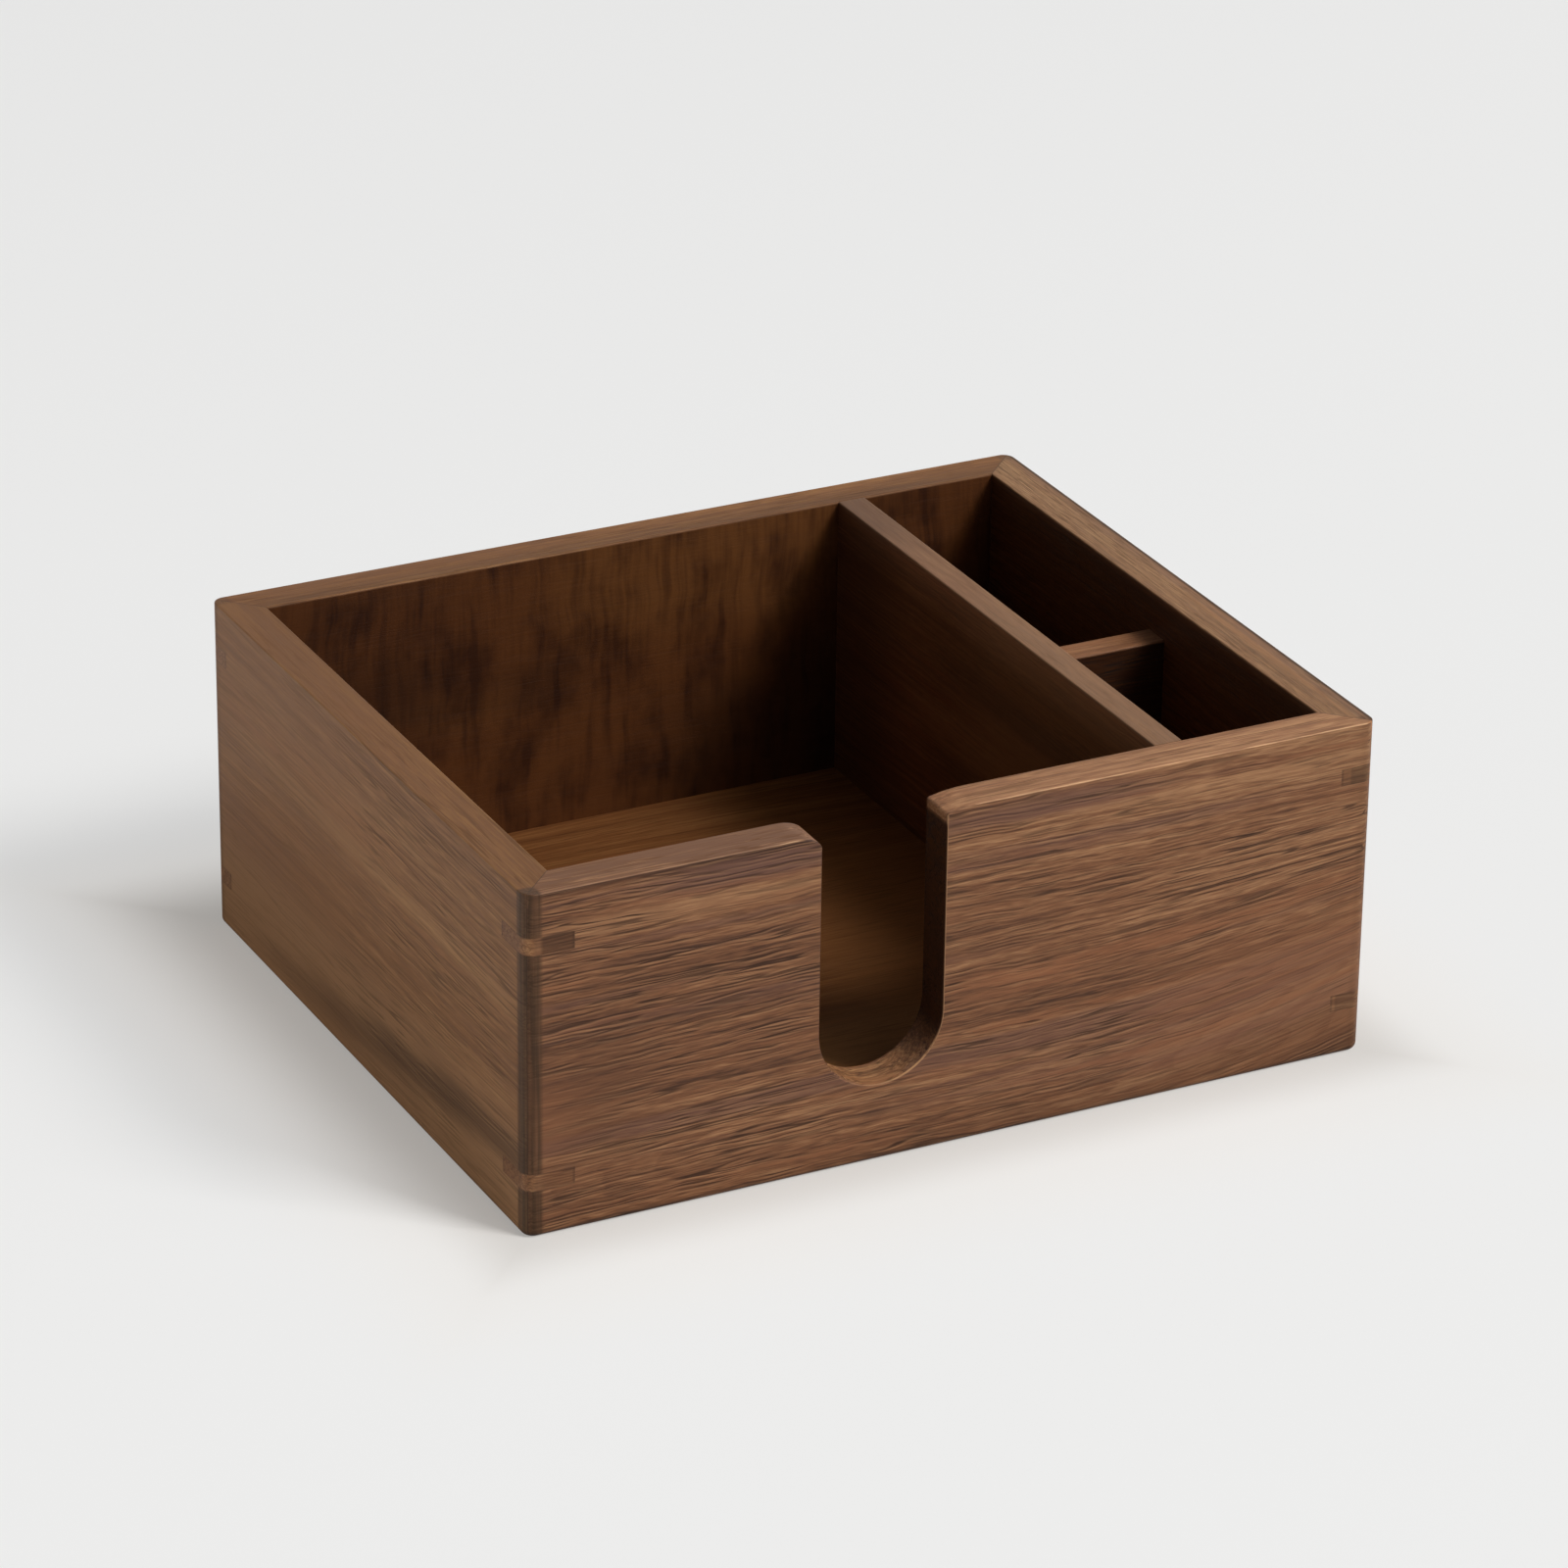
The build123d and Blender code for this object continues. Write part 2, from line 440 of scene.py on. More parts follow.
FRONT_STREAKS = (
    Streak("plum", 96, 7, -85, -35, 0.85),
    Streak("tan", 87, 4, -120, -45, 0.4),
    Streak("ember", 47, 3, 0, 125, 0.4),
    Streak("ember", 14, 34, 60, 150, 0.22, 0.45),
    Streak("ember", 13, 1.6, 20, 140, 0.4, 0.3),
    Streak("plum", 19, 2.5, 70, 140, 0.25),
    Streak("ember", 25, 2.5, 60, 140, 0.25),
    Streak("ember", 34, 20, -140, -108, 0.25, 0.6),
    Streak("heart", 38, 26, -116, -98, 0.35, 0.3),
    Streak("heart", 2, 5, -20, 130, 0.35),
    Streak("tan", 91, 4, 60, 120, 0.25),
    Streak("plum", 96, 5, 8, 55, 0.6),
    Streak("pore", 101.5, 5, -140, -30, 0.8),
    Streak("heart", -9, 9, 85, 140, 0.55),
)
BACK_INSIDE = (
    Streak("tan", 92, 34, -25, 75, 0.4),
    Streak("ember", 86, 12, -95, -65, 0.3),
    Streak("heart", 64, 14, -88, -62, 0.6),
    Streak("heart", 60, 12, -45, -22, 0.6),
    Streak("tan", 56, 9, -70, -48, 0.25),
    # Painted shadow of the long divider on the wall's lower right
    Streak("heart", 30, 30, 10, 75, 0.6),
    Streak("heart", 75, 40, -110, -62, 0.4),
    # Painted shadow in the corner by the long divider
    Streak("pore", 40, 42, 48, 130, 0.5),
)
LEFT_STREAKS = (
    Streak("plum", 8, 36, -110, 120, 0.65),
    Streak("tan", 8, 36, -110, 120, 0.38),
    Streak("ember", 74, 9, -20, 105, 0.2),
    Streak("pore", 22, 7, -125, -45, 0.6),
    Streak("pore", 17.5, 6.5, -68, -5, 0.6),
    Streak("pore", 12.5, 6, -30, 35, 0.42),
    Streak("pore", 8, 5, 5, 68, 0.3),
    Streak("plum", 38, 14, 50, 105, 0.2),
    Streak("tan", 66, 5, -100, 90, 0.25),
    Streak("brown", 60, 150, 5, 130, 0.1, 0.5),
    Streak("heart", 90, 70, 20, 130, 0.08),
)
DIVIDER_STREAKS = (
    Streak("tan", 42, 80, -110, 8, 0.75),
    Streak("tan", 58, 7, -60, 45, 0.45),
    Streak("heart", 76, 7, -70, 25, 0.5),
    Streak("heart", 46, 6, -60, 30, 0.4),
    # Painted shadow on the rear of the divider, by the back wall
    Streak("pore", 60, 90, 58, 130, 0.75),
)
CROSS_STREAKS = (
    # Painted shadow on the right of the cross divider, by the right wall
    Streak("pore", 60, 90, 106, 140, 0.75),
)
FLOOR_STREAKS = (
    # Painted light: lighter, warmer floor in the shadow of the long divider
    Streak("tan", 0, 90, 5, 70, 0.55),
    Streak("ember", 0, 90, 5, 70, 0.5),
    # Painted light: lighter floor in the shadow of the front wall
    Streak("tan", -78, 36, -75, 25, 0.95),
)


class KeyShade(NamedTuple):
    """A stretch of a key's front or back face that is darker, in millimetres from the corner."""

    tint: tuple
    start: float
    end: float


KEY_SHADES = {
    "key_front_left_upper": KeyShade((0.54, 0.52, 0.51), 4.5, 15),
    "key_front_left_lower": KeyShade((0.9, 0.86, 0.84), 4.5, 15),
    "key_front_right_upper": KeyShade((0.7, 0.73, 0.73), -1, 7.5),
    "key_front_right_lower": KeyShade((0.72, 0.72, 0.74), -1, 9),
}
OTHER_KEY_SHADE = KeyShade((0.75, 0.75, 0.75), -1, 15)


# Shader nodes


class Wire:
    """A socket of a node tree. Arithmetic on it adds Math nodes."""

    def __init__(self, nodes, socket):
        self.nodes = nodes
        self.socket = socket

    def math(self, operation, *others):
        """The result of a Math node on this socket."""
        return self.nodes.add("ShaderNodeMath", {"operation": operation}, (self, *others))

    def output(self, name):
        """Another output of the same node."""
        return Wire(self.nodes, self.socket.node.outputs[name])

    def __add__(self, other):
        return self.math("ADD", other)

    def __sub__(self, other):
        return self.math("SUBTRACT", other)

    def __rsub__(self, other):
        return self * -1 + other

    def __mul__(self, other):
        return self.math("MULTIPLY", other)

    def __truediv__(self, other):
        return self.math("DIVIDE", other)

    def __pow__(self, other):
        return self.math("POWER", other)

    def __abs__(self):
        return self.math("ABSOLUTE")

    __radd__ = __add__
    __rmul__ = __mul__


class Nodes:
    """The node tree of one material or of the world."""

    def __init__(self, owner):
        owner.use_nodes = True
        self.tree = owner.node_tree
        self.tree.nodes.clear()

    def add(self, kind, settings=None, sockets=(), output=0):
        """A node of this kind with its settings, then its sockets by order or by identifier."""
        node = self.tree.nodes.new(kind)
        for name, value in (settings or {}).items():
            if name == "stops":
                self.set_stops(node.color_ramp.elements, value)
            else:
                setattr(node, name, value)
        if isinstance(sockets, dict):
            named = {socket.identifier: socket for socket in node.inputs}
            pairs = [(named[name], value) for name, value in sockets.items()]
        else:
            pairs = zip(node.inputs, sockets)
        for socket, value in pairs:
            if isinstance(value, Wire):
                self.tree.links.new(value.socket, socket)
            else:
                socket.default_value = value
        return Wire(self, node.outputs[output]) if node.outputs else None

    def set_stops(self, elements, stops):
        """The colours of a ramp, each at its position."""
        while len(elements) < len(stops):
            elements.new(1)
        for element, (position, value) in zip(elements, stops):
            element.position = position
            element.color = (*value, 1)

    def split(self, vector):
        """The three parts of a vector."""
        parts = self.add("ShaderNodeSeparateXYZ", sockets=(vector,))
        return [parts.output(name) for name in "XYZ"]

    def join(self, *parts):
        """A vector from its three parts."""
        return self.add("ShaderNodeCombineXYZ", sockets=parts)

    def shifted(self, place, shift):
        """A place moved by a fixed amount."""
        return self.add("ShaderNodeVectorMath", {"operation": "ADD"}, (place, shift))

    def noise(self, place, patch):
        """Smooth noise about 0, mostly within a quarter either way."""
        if any(patch.shift):
            place = self.shifted(place, patch.shift)
        steps = (1 / patch.along, 1 / patch.across, 1 / patch.across)
        scaled = self.add("ShaderNodeVectorMath", {"operation": "MULTIPLY"}, (place, steps))
        sockets = {"Vector": scaled, "Scale": 1.0, "Detail": patch.detail, "Roughness": patch.roughness}
        return self.add("ShaderNodeTexNoise", {"noise_dimensions": "3D"}, sockets) - 0.5

    def cover(self, place, patch):
        """How far a kind of noise covers a place, from 0 to 1."""
        return self.rise(self.noise(place, patch), patch.low, patch.high)

    def rise(self, value, low, high):
        """A smooth step from 0 at low to 1 at high."""
        sockets = {"Value": value, "From Min": low, "From Max": high}
        return self.add("ShaderNodeMapRange", {"interpolation_type": "SMOOTHSTEP"}, sockets)

    def fall(self, value, low, high):
        """A smooth step from 1 at low to 0 at high."""
        return 1 - self.rise(value, low, high)

    def blend(self, first, second, factor, blend_type="MIX"):
        """A mix of two colours."""
        settings = {"data_type": "RGBA", "blend_type": blend_type, "clamp_factor": True}
        sockets = {"Factor_Float": factor, "A_Color": rgba(first), "B_Color": rgba(second)}
        return self.add("ShaderNodeMix", settings, sockets, output=2)

    def tint(self, first, second, factor):
        """A colour multiplied by another as far as the factor says."""
        return self.blend(first, second, factor, "MULTIPLY")


def rgba(value):
    """A colour as a socket takes it."""
    return value if isinstance(value, Wire) else (*value, 1)


# Walnut


def board_space(nodes, axes):
    """The place in a board's own space: run, height and depth in millimetres."""
    turn = Matrix(axes).to_euler()
    place = nodes.add("ShaderNodeTexCoord", output="Object")
    sockets = {"Vector": place, "Rotation": turn, "Scale": (1 / mm, 1 / mm, 1 / mm)}
    return nodes.add("ShaderNodeMapping", {"vector_type": "POINT"}, sockets)


def box_space(nodes):
    """The place in the box, as x, y and z in millimetres."""
    return nodes.split(board_space(nodes, (X_AXIS, Y_AXIS, Z_AXIS)))


def streak_cover(nodes, streak, run, across):
    """How much of a placed streak covers a place."""
    begun = nodes.rise(run, streak.start - streak_fade, streak.start + streak_fade)
    left = nodes.fall(run, streak.end - streak_fade, streak.end + streak_fade)
    core = streak.half_height * streak_core
    near = nodes.fall(abs(across - streak.height), core, streak.half_height)
    return begun * left * near


def pore_cover(nodes, grain, grained, run):
    """How much of the open pores covers a place: long broken lines, shorter dashes and fine hairs."""
    whole = nodes.cover(grained, WHOLE_LINE)
    ridge = nodes.fall(abs(nodes.noise(grained, RIDGE)), RIDGE.low, RIDGE.high)
    thin = nodes.cover(grained, THIN_LINE)
    line = ridge.math("MAXIMUM", thin * THIN_LINE.weight) * whole
    dash = nodes.cover(grained, DASH)
    hair = nodes.cover(grained, HAIR)
    crowd = nodes.cover(grained, CROWD)
    low_end, high_end = grain.lines
    drawn_out = low_end + nodes.rise(run, *lines_turn) * (high_end - low_end)
    short = (dash * DASH.weight + hair * HAIR.weight) * (most_drawn_out - drawn_out)
    pores = (line * drawn_out + short) * (1 - CROWD.weight + crowd * CROWD.weight)
    return pores.math("MINIMUM", 1)


def walnut(nodes, colours, grain, board, streaks):
    """Colour, dents and roughness of walnut at a place in board space."""
    run, height, depth = nodes.split(board)
    place = nodes.shifted(board, grain.shift)
    wander = nodes.noise(place, WANDER) * grain.wander
    long_ripple = nodes.noise(place, LONG_RIPPLE)
    ripple = (long_ripple + nodes.noise(place, SHORT_RIPPLE) * SHORT_RIPPLE.weight) * grain.ripple
    past_start = (run - arch_start).math("MAXIMUM", 0)
    arch = past_start * past_start * grain.bend * nodes.fall(height, *arch_heights)
    across = height + wander + ripple - arch
    through = depth + wander * wander_through + run * run * grain.dive
    grained = nodes.shifted(nodes.join(run, across, depth), grain.shift)
    covers = [(placed, streak_cover(nodes, placed, run, across)) for placed in streaks]
    lively = 1.0
    for placed, cover in covers:
        if placed.calm:
            lively = (1 - cover * placed.calm) * lively

    # Growth rings round the heart of the tree, of uneven width
    above_heart = across - grain.heart[0]
    before_heart = through - grain.heart[1]
    radius = (above_heart * above_heart + before_heart * before_heart) ** 0.5
    uneven = nodes.noise(grained, RING_WIDTH)
    phase = (radius / grain.ring_gap + uneven * RING_WIDTH.weight).math("FRACT")
    late = nodes.rise(phase, *late_wood) * nodes.fall(phase, late_wood[1], 1)

    # Colour along the grain, from broad bands to single fibres
    band = nodes.noise(grained, BAND)
    streak = nodes.noise(grained, LONG_STREAK)
    strand = nodes.noise(grained, STRAND)
    fibre = nodes.noise(grained, FIBRE)
    level = middle_level + (streak * LONG_STREAK.weight + band * BAND.weight) * grain.streaks
    level = level + (strand * STRAND.weight + fibre * FIBRE.weight) * (grain.fibres * lively)
    level = level + run * (grain.fade * mm) - late * late_darkness * grain.rings
    stops = [(0.15, colours.heart), (0.5, colours.brown), (0.88, colours.tan)]
    wood = nodes.add("ShaderNodeValToRGB", {"stops": stops}, {"Fac": level})
    cool = nodes.cover(grained, COOL)
    wood = nodes.blend(wood, colours.plum, cool * COOL.weight * grain.streaks)
    warm = nodes.cover(grained, WARM)
    wood = nodes.blend(wood, colours.ember, warm * WARM.weight * grain.streaks)
    for placed, cover in covers:
        wood = nodes.blend(wood, getattr(colours, placed.tint), cover * placed.strength)

    # Open pores, each with a painted highlight just below it, where light would catch the pore's lower
    # wall
    share_of_pores = grain.pores * lively
    pore_highlight = pore_cover(nodes, grain, nodes.shifted(grained, (0, pore_highlight_drop, 0)), run) * share_of_pores
    wood = nodes.blend(wood, colours.tan, pore_highlight * pore_highlight_strength)
    pores = pore_cover(nodes, grain, grained, run) * share_of_pores
    wood = nodes.blend(wood, colours.pore, pores * pore_strength)
    dents = fibre * fibre_dent - pores
    return wood, dents, plain_roughness + pores * pore_roughness + fibre * fibre_roughness


def curl(nodes, grain, board):
    """Dark strokes, soft blotches and fine threads across the grain."""
    run, height, depth = nodes.split(nodes.shifted(board, grain.shift))
    swayed = run + nodes.noise(board, SWAY) * SWAY.weight
    turned = nodes.join(height, swayed, depth)
    strokes = nodes.cover(turned, STROKE)
    threads = nodes.noise(turned, THREAD) * nodes.rise(height - grain.shift[1], *thread_heights)
    blotches = nodes.cover(turned, BLOTCH)
    return strokes * STROKE.weight + blotches * BLOTCH.weight + threads * THREAD.weight


def calm_rim_with_painted_light(nodes, colours, grain, wood, z, top):
    """The upper edge of a board, with calmer grain and painted light that makes it lighter than its
    faces.
    """
    on_rim = nodes.fall(top - z, *rim_step)
    wood = nodes.blend(wood, colours.brown, on_rim * rim_calm)
    # Painted light: the rim tint lights the top edge
    return nodes.tint(wood, grain.rim, on_rim)


def rim_edges(nodes, colours, grain, wood, from_outside, place):
    """The rim of a wall: a painted highlight along its edges in patches, paler outwards, or a painted
    shade along the outside.
    """
    below_rim = box_height - place[2]
    nearest = (from_outside + below_rim).math("MINIMUM", wall - from_outside + below_rim)
    patches = nodes.cover(nodes.join(*place), HIGHLIGHT_PATCHES) * grain.worn
    # Painted highlight along the rim's edges, broken into patches
    wood = nodes.tint(wood, colours.edge, nodes.fall(nearest, *highlight_step) * patches)
    on_rim = nodes.fall(below_rim, *rim_depth)
    paling = nodes.fall(from_outside, slope_start, wall) * on_rim
    wood = nodes.tint(wood, colours.slope, paling * grain.slope)
    # Painted shade along the rim's outer edge
    outer_edge = nodes.fall(from_outside, *arris_step) * on_rim
    return nodes.tint(wood, colours.arris, outer_edge * grain.arris)


def wall_marks(nodes, colours, grain, wood, board, along_x):
    """Marks that a wall's place in the box gives it: painted shade inside, painted light on the rim, end
    grain that is partly painted shade, mitre lines and painted shade at the foot.
    """
    x, y, z = box_space(nodes)
    run = x if along_x else y
    to_end = (half_width - abs(x)) if along_x else (half_depth - abs(y))
    from_outside = (half_depth - abs(y)) if along_x else (half_width - abs(x))
    inside = nodes.fall(wall - from_outside, *inside_step) * nodes.rise(box_height - z, *face_step)
    if grain.figure:
        wood = nodes.blend(wood, colours.brown, inside * inside_calm)
        for placed in BACK_INSIDE:
            cover = streak_cover(nodes, placed, x, z)
            wood = nodes.blend(wood, getattr(colours, placed.tint), cover * inside * placed.strength)
        wood = nodes.tint(wood, colours.curl, curl(nodes, grain, board) * inside * grain.figure)
    # Painted shade: the faces inside the box are tinted darker
    wood = nodes.tint(wood, grain.inside, inside)
    lip = nodes.rise(from_outside, *face_step) * nodes.rise(wall - from_outside, *face_step)
    wood = calm_rim_with_painted_light(nodes, colours, grain, wood, z + lip * lip_drop, box_height)
    wood = rim_edges(nodes, colours, grain, wood, from_outside, (x, y, z))
    # End grain at the corners, and painted shade: darker at the end that the key lamp does not reach
    low_end, high_end = grain.ends
    darkness = low_end + nodes.rise(run, -half_depth / 2, half_depth / 2) * (high_end - low_end)
    fibres = end_level + nodes.noise(nodes.join(z, x, y), END_FIBRE) * END_FIBRE.weight
    end_grain_and_shade = nodes.fall(to_end, *end_step) * nodes.fall(from_outside, *end_depth) * darkness
    wood = nodes.blend(wood, colours.brown, end_grain_and_shade * end_calm)
    wood = nodes.tint(wood, colours.end_grain_and_shade, end_grain_and_shade * fibres)
    mitre = nodes.fall(to_end - from_outside, *mitre_step)
    wood = nodes.blend(wood, colours.joint, mitre * mitre_strength)
    # Painted shade at the foot of the wall
    return nodes.tint(wood, colours.foot_shade, nodes.fall(z, *foot_shade_step))


def front_marks(nodes, colours, wood):
    """Marks of the front wall alone: a painted highlight on the notch's right edge, painted shade on its
    sides and painted light on its sill.
    """
    x, y, z = box_space(nodes)
    from_outside = half_depth - abs(y)
    off_middle = x - notch_middle
    below_centre = (notch_centre_height - z).math("MAXIMUM", 0)
    from_axis = (off_middle * off_middle + below_centre * below_centre) ** 0.5
    from_notch = from_axis - notch_radius
    edge = nodes.fall(from_outside + from_notch, *notch_edge_step)
    # Painted highlight: a pale line on the notch's right edge, where light catches the rounded edge
    notch_highlight = edge * nodes.rise(off_middle, *notch_edge_side)
    wood = nodes.blend(wood, colours.tan, notch_highlight * notch_edge_strength)
    in_notch = nodes.fall(from_notch, *notch_step)
    shaded_cheek = in_notch * nodes.rise(z, *cheek_foot) * nodes.rise(box_height - z, lip_drop, cheek_drop)
    # Painted shade on the sides of the notch
    wood = nodes.tint(wood, colours.cheek_shade, shaded_cheek)
    # Painted light on the bottom of the notch
    return nodes.tint(wood, colours.sill_light, in_notch * nodes.fall(z, *sill_step))


def divider_marks(nodes, colours, grain, wood, top):
    """Painted shade on the faces of a divider below its top edge, and painted light on the top edge."""
    z = box_space(nodes)[2]
    # Painted shade: the divider's faces below its top are tinted darker
    wood = nodes.tint(wood, grain.inside, nodes.rise(top - z, *face_step))
    return calm_rim_with_painted_light(nodes, colours, grain, wood, z, top)


def key_marks(nodes, colours, wood, name):
    """Glue lines round a corner key, its darker stretch and a pale rounding where it wraps the corner."""
    x, y, z = box_space(nodes)
    low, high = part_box(name)
    reach = (high.x - low.x) / mm
    to_side = half_width - abs(x)
    to_face = half_depth - abs(y)
    shade = KEY_SHADES.get(name, OTHER_KEY_SHADE)
    begun = nodes.rise(to_side - shade.start, *shade_start_step)
    left = nodes.fall(to_side - shade.end, *shade_end_step)
    wood = nodes.tint(wood, shade.tint, begun * left * nodes.fall(to_face, *key_face_step))
    rounding = nodes.fall(abs(to_side - to_face), *key_rounding_step)
    wood = nodes.tint(wood, colours.key_rounding, rounding)
    inner_end = nodes.rise(to_side + to_face, reach - 2 * key_line, reach - key_line)
    middle = (low.z + high.z) / 2 / mm
    half_thickness = (high.z - low.z) / 2 / mm
    to_edge = half_thickness - abs(z - middle)
    sides = nodes.fall(to_edge, key_line * key_line_core, key_line)
    return nodes.blend(wood, colours.joint, inner_end.math("MAXIMUM", sides) * key_line_strength)


def finish_board(node_name, colours, grain, axes, marks, streaks=()):
    """Give one board its walnut, with the marks that its place in the box gives it."""
    material = bpy.data.materials.new(f"walnut_{node_name}")
    nodes = Nodes(material)
    board = board_space(nodes, axes)
    wood, dents, roughness = walnut(nodes, colours, grain, board, streaks)
    wood = nodes.tint(wood, grain.tone, 1.0)
    wood = marks(nodes, wood, board)
    bump = {"Strength": dent_strength, "Distance": dent_depth * mm, "Height": dents}
    sockets = {
        "Base Color": wood,
        "Roughness": roughness,
        "Normal": nodes.add("ShaderNodeBump", sockets=bump),
        "Specular IOR Level": grain.gloss,
    }
    surface = nodes.add("ShaderNodeBsdfPrincipled", sockets=sockets)
    nodes.add("ShaderNodeOutputMaterial", sockets=(surface,))
    node = frame["nodes"][node_name]
    node.data.materials.clear()
    node.data.materials.append(material)


WALL_ALONG_X = (X_AXIS, Z_AXIS, -Y_AXIS)
WALL_ALONG_Y = (Y_AXIS, Z_AXIS, X_AXIS)
FLOOR_ALONG_X = (X_AXIS, Y_AXIS, Z_AXIS)


def finish_wall(node_name, colours, grain, along_x, streaks=()):
    """Give one of the four walls its walnut and marks."""

    def marks(nodes, wood, board):
        wood = wall_marks(nodes, colours, grain, wood, board, along_x)
        return front_marks(nodes, colours, wood) if node_name == "front_panel" else wood

    finish_board(node_name, colours, grain, WALL_ALONG_X if along_x else WALL_ALONG_Y, marks, streaks)


# Operators that finish the pieces


class NAPKINBOX_OT_front_panel(bpy.types.Operator):
    """Finish the front panel"""

    bl_idname = "napkinbox.front_panel"
    bl_label = "Front panel"

    def execute(self, context):
        box = context.scene.napkin_box
        finish_wall("front_panel", box.colours, box.front, True, FRONT_STREAKS)
        return {"FINISHED"}


class NAPKINBOX_OT_side_panels(bpy.types.Operator):
    """Finish the back, left and right panels"""

    bl_idname = "napkinbox.side_panels"
    bl_label = "Back and side panels"

    def execute(self, context):
        box = context.scene.napkin_box
        finish_wall("back_panel", box.colours, box.back, True)
        finish_wall("left_panel", box.colours, box.left, False, LEFT_STREAKS)
        finish_wall("right_panel", box.colours, box.right, False)
        return {"FINISHED"}


class NAPKINBOX_OT_floor(bpy.types.Operator):
    """Finish the floor of the box"""

    bl_idname = "napkinbox.floor"
    bl_label = "Floor"

    def execute(self, context):
        box = context.scene.napkin_box

        def marks(nodes, wood, board):
            # Painted shade: the floor inside the box is tinted darker
            return nodes.tint(wood, box.floor.inside, 1.0)

        finish_board("bottom_panel", box.colours, box.floor, FLOOR_ALONG_X, marks, FLOOR_STREAKS)
        return {"FINISHED"}


class NAPKINBOX_OT_dividers(bpy.types.Operator):
    """Finish the two dividers"""

    bl_idname = "napkinbox.dividers"
    bl_label = "Dividers"

    def execute(self, context):
        box = context.scene.napkin_box

        def long_marks(nodes, wood, board):
            return divider_marks(nodes, box.colours, box.long_divider, wood, box_height)

        def cross_marks(nodes, wood, board):
            return divider_marks(nodes, box.colours, box.cross_divider, wood, cross_height)

        finish_board(
            "long_divider", box.colours, box.long_divider, WALL_ALONG_Y, long_marks, DIVIDER_STREAKS
        )
        finish_board(
            "cross_divider", box.colours, box.cross_divider, WALL_ALONG_X, cross_marks, CROSS_STREAKS
        )
        return {"FINISHED"}


class NAPKINBOX_OT_keys(bpy.types.Operator):
    """Finish the corner keys"""

    bl_idname = "napkinbox.keys"
    bl_label = "Corner keys"

    def execute(self, context):
        box = context.scene.napkin_box
        for name in frame["nodes"]:
            if name.startswith("key_"):
                self.finish_key(name, box)
        return {"FINISHED"}

    def finish_key(self, name, box):
        """Give one key its walnut and marks."""

        def marks(nodes, wood, board):
            return key_marks(nodes, box.colours, wood, name)

        finish_board(name, box.colours, box.keys, WALL_ALONG_X, marks)


# Studio


def direction(azimuth, elevation):
    """The way from the box to a point, with azimuth 0 in front and 90 degrees on the right."""
    level = math.cos(elevation)
    return Vector((math.sin(azimuth) * level, -math.cos(azimuth) * level, math.sin(elevation)))


def place_at(azimuth, elevation, distance):
    """A point at a distance from the middle of the box."""
    return (cad_low + cad_high) / 2 + direction(azimuth, elevation) * distance


def softbox(name, place, width, height, power):
    """A soft lamp at a place, aimed at the middle of the box."""
    lamp = bpy.data.lights.new(name, "AREA")
    lamp.shape = "RECTANGLE"
    lamp.size = width
    lamp.size_y = height
    lamp.energy = power
    holder = bpy.data.objects.new(name, lamp)
    holder.location = place
    holder.rotation_euler = ((cad_low + cad_high) / 2 - place).to_track_quat("-Z", "Y").to_euler()
    holder.visible_camera = False
    bpy.context.scene.collection.objects.link(holder)


def studio_floor(studio):
    """A wide pale floor that keeps the box's shadow, lightened by a painted glow that the camera sees,
    with painted bounce light and a painted contact shadow near the box.
    """
    mesh = bpy.data.meshes.new("studio_floor")
    shape = bmesh.new()
    bmesh.ops.create_grid(shape, x_segments=1, y_segments=1, size=studio.floor_reach)
    shape.to_mesh(mesh)
    shape.free()
    floor = bpy.data.objects.new("studio_floor", mesh)
    bpy.context.scene.collection.objects.link(floor)
    material = bpy.data.materials.new("studio_floor")
    nodes = Nodes(material)
    x, y = box_space(nodes)[:2]
    from_box = (abs(x) - half_width).math("MAXIMUM", abs(y) - half_depth)
    # Painted light: a warm glow near the box stands for light bounced off the wood
    warm = nodes.fall(from_box, 0, studio.bounce_reach)
    bounce_lit = nodes.tint(studio.backdrop_colour, studio.bounce_tint, warm)
    lift = nodes.add("ShaderNodeEmission", sockets={"Color": bounce_lit, "Strength": 1.0})
    # Painted shadow: the floor's colour is darker close to the box
    shade = nodes.fall(from_box, 0, studio.shade_reach)
    shaded = nodes.tint(studio.floor_colour, studio.shade_tint, shade)
    paper = nodes.add("ShaderNodeBsdfDiffuse", sockets={"Color": shaded})
    # Painted light: the camera sees a glow that lightens the box's shadow, more so away from the box
    far = nodes.rise(from_box, 0, studio.lift_reach)
    lifted = studio.floor_lift + far * (studio.far_lift - studio.floor_lift)
    seen = nodes.add("ShaderNodeLightPath", output="Is Camera Ray") * lifted
    surface = nodes.add("ShaderNodeMixShader", sockets=(seen, paper, lift))
    nodes.add("ShaderNodeOutputMaterial", sockets=(surface,))
    mesh.materials.append(material)


def studio_world(studio):
    """Weak light from all round, and a pale backdrop where the camera or a gloss looks past the floor."""
    world = bpy.data.worlds.new("studio")
    bpy.context.scene.world = world
    nodes = Nodes(world)
    path = nodes.add("ShaderNodeLightPath", output="Is Camera Ray")
    reflected = path.output("Is Glossy Ray").math("MAXIMUM", path.output("Is Transmission Ray"))
    seen = path.math("MAXIMUM", reflected)
    dim = nodes.add("ShaderNodeBackground", sockets={"Color": (1, 1, 1, 1), "Strength": studio.ambient})
    sockets = {"Color": rgba(studio.backdrop_colour), "Strength": 1.0}
    pale = nodes.add("ShaderNodeBackground", sockets=sockets)
    surface = nodes.add("ShaderNodeMixShader", sockets=(seen, dim, pale))
    nodes.add("ShaderNodeOutputWorld", sockets=(surface,))


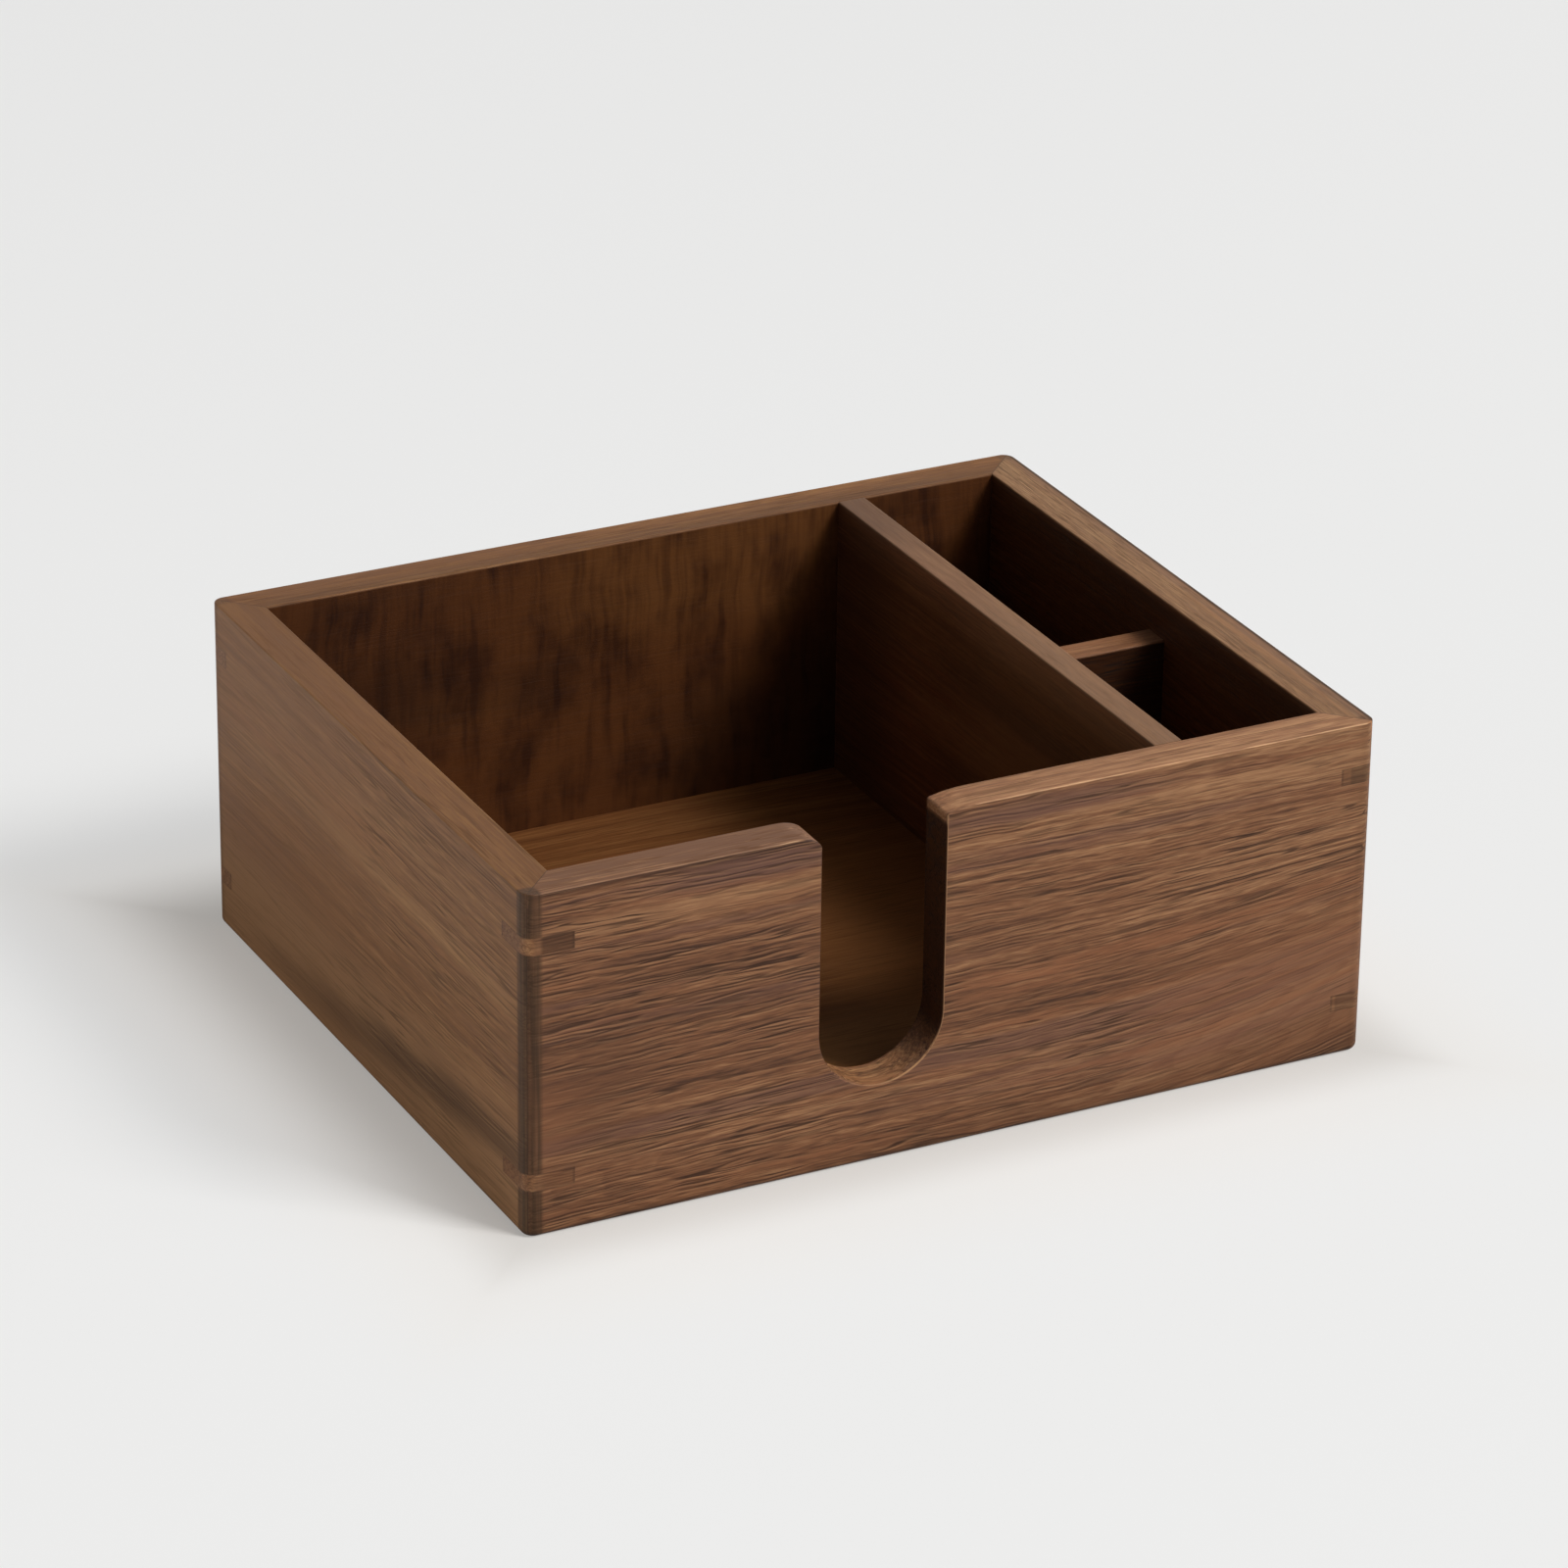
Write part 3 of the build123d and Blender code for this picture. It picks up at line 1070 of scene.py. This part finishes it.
def photo_camera(settings):
    """The camera at the photograph's view."""
    lens = bpy.data.cameras.new("camera")
    lens.lens = settings.lens
    lens.clip_start = 0.01
    camera = bpy.data.objects.new("camera", lens)
    look = -direction(settings.azimuth, settings.elevation)
    right = look.cross(Z_AXIS).normalized()
    up = right.cross(look)
    turned = Matrix((right, up, -look)).transposed() @ Matrix.Rotation(settings.roll, 3, "Z")
    camera.matrix_world = Matrix.Translation(settings.eye) @ turned.to_4x4()
    bpy.context.scene.collection.objects.link(camera)
    bpy.context.scene.camera = camera


class NAPKINBOX_OT_studio(bpy.types.Operator):
    """Make the floor, the light and the camera"""

    bl_idname = "napkinbox.studio"
    bl_label = "Studio"

    def execute(self, context):
        studio = context.scene.napkin_box.studio
        studio_floor(studio)
        studio_world(studio)
        key = place_at(studio.key_azimuth, studio.key_elevation, studio.key_distance)
        softbox("key_lamp", key, studio.key_size, studio.key_size, studio.key_power)
        softbox("wash_lamp", key, studio.wash_size, studio.wash_size, studio.wash_power)
        left = place_at(studio.left_azimuth, studio.left_elevation, studio.left_distance)
        softbox("left_card", left, studio.card_width, studio.card_height, studio.left_power)
        front = place_at(studio.front_azimuth, studio.front_elevation, studio.front_distance)
        softbox("front_card", front, studio.card_width, studio.card_height, studio.front_power)
        photo_camera(context.scene.napkin_box.camera)
        context.scene.view_settings.view_transform = "Standard"
        return {"FINISHED"}


class NAPKINBOX_PT_panel(bpy.types.Panel):
    """Steps that finish the napkin box"""

    bl_idname = "NAPKINBOX_PT_panel"
    bl_label = "Napkin box"
    bl_space_type = "VIEW_3D"
    bl_region_type = "UI"
    bl_category = "Napkin box"

    def draw(self, context):
        for step in STEPS:
            self.layout.operator(step.bl_idname)


STEPS = (
    NAPKINBOX_OT_front_panel,
    NAPKINBOX_OT_side_panels,
    NAPKINBOX_OT_floor,
    NAPKINBOX_OT_dividers,
    NAPKINBOX_OT_keys,
    NAPKINBOX_OT_studio,
)
CLASSES = (
    WalnutColours, FrontGrain, BackGrain, LeftGrain, RightGrain, FloorGrain, LongDividerGrain,
    CrossDividerGrain, KeyGrain, PhotoCamera, StudioSettings, NapkinBox, *STEPS, NAPKINBOX_PT_panel,
)


def register():
    """Add the properties, operators and panel to Blender."""
    for kind in CLASSES:
        bpy.utils.register_class(kind)
    bpy.types.Scene.napkin_box = PointerProperty(type=NapkinBox)


def unregister():
    """Take them out again."""
    del bpy.types.Scene.napkin_box
    for kind in reversed(CLASSES):
        bpy.utils.unregister_class(kind)


def main():
    """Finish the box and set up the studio."""
    register()
    bpy.ops.napkinbox.front_panel()
    bpy.ops.napkinbox.side_panels()
    bpy.ops.napkinbox.floor()
    bpy.ops.napkinbox.dividers()
    bpy.ops.napkinbox.keys()
    bpy.ops.napkinbox.studio()


if __name__ == "__main__":
    main()
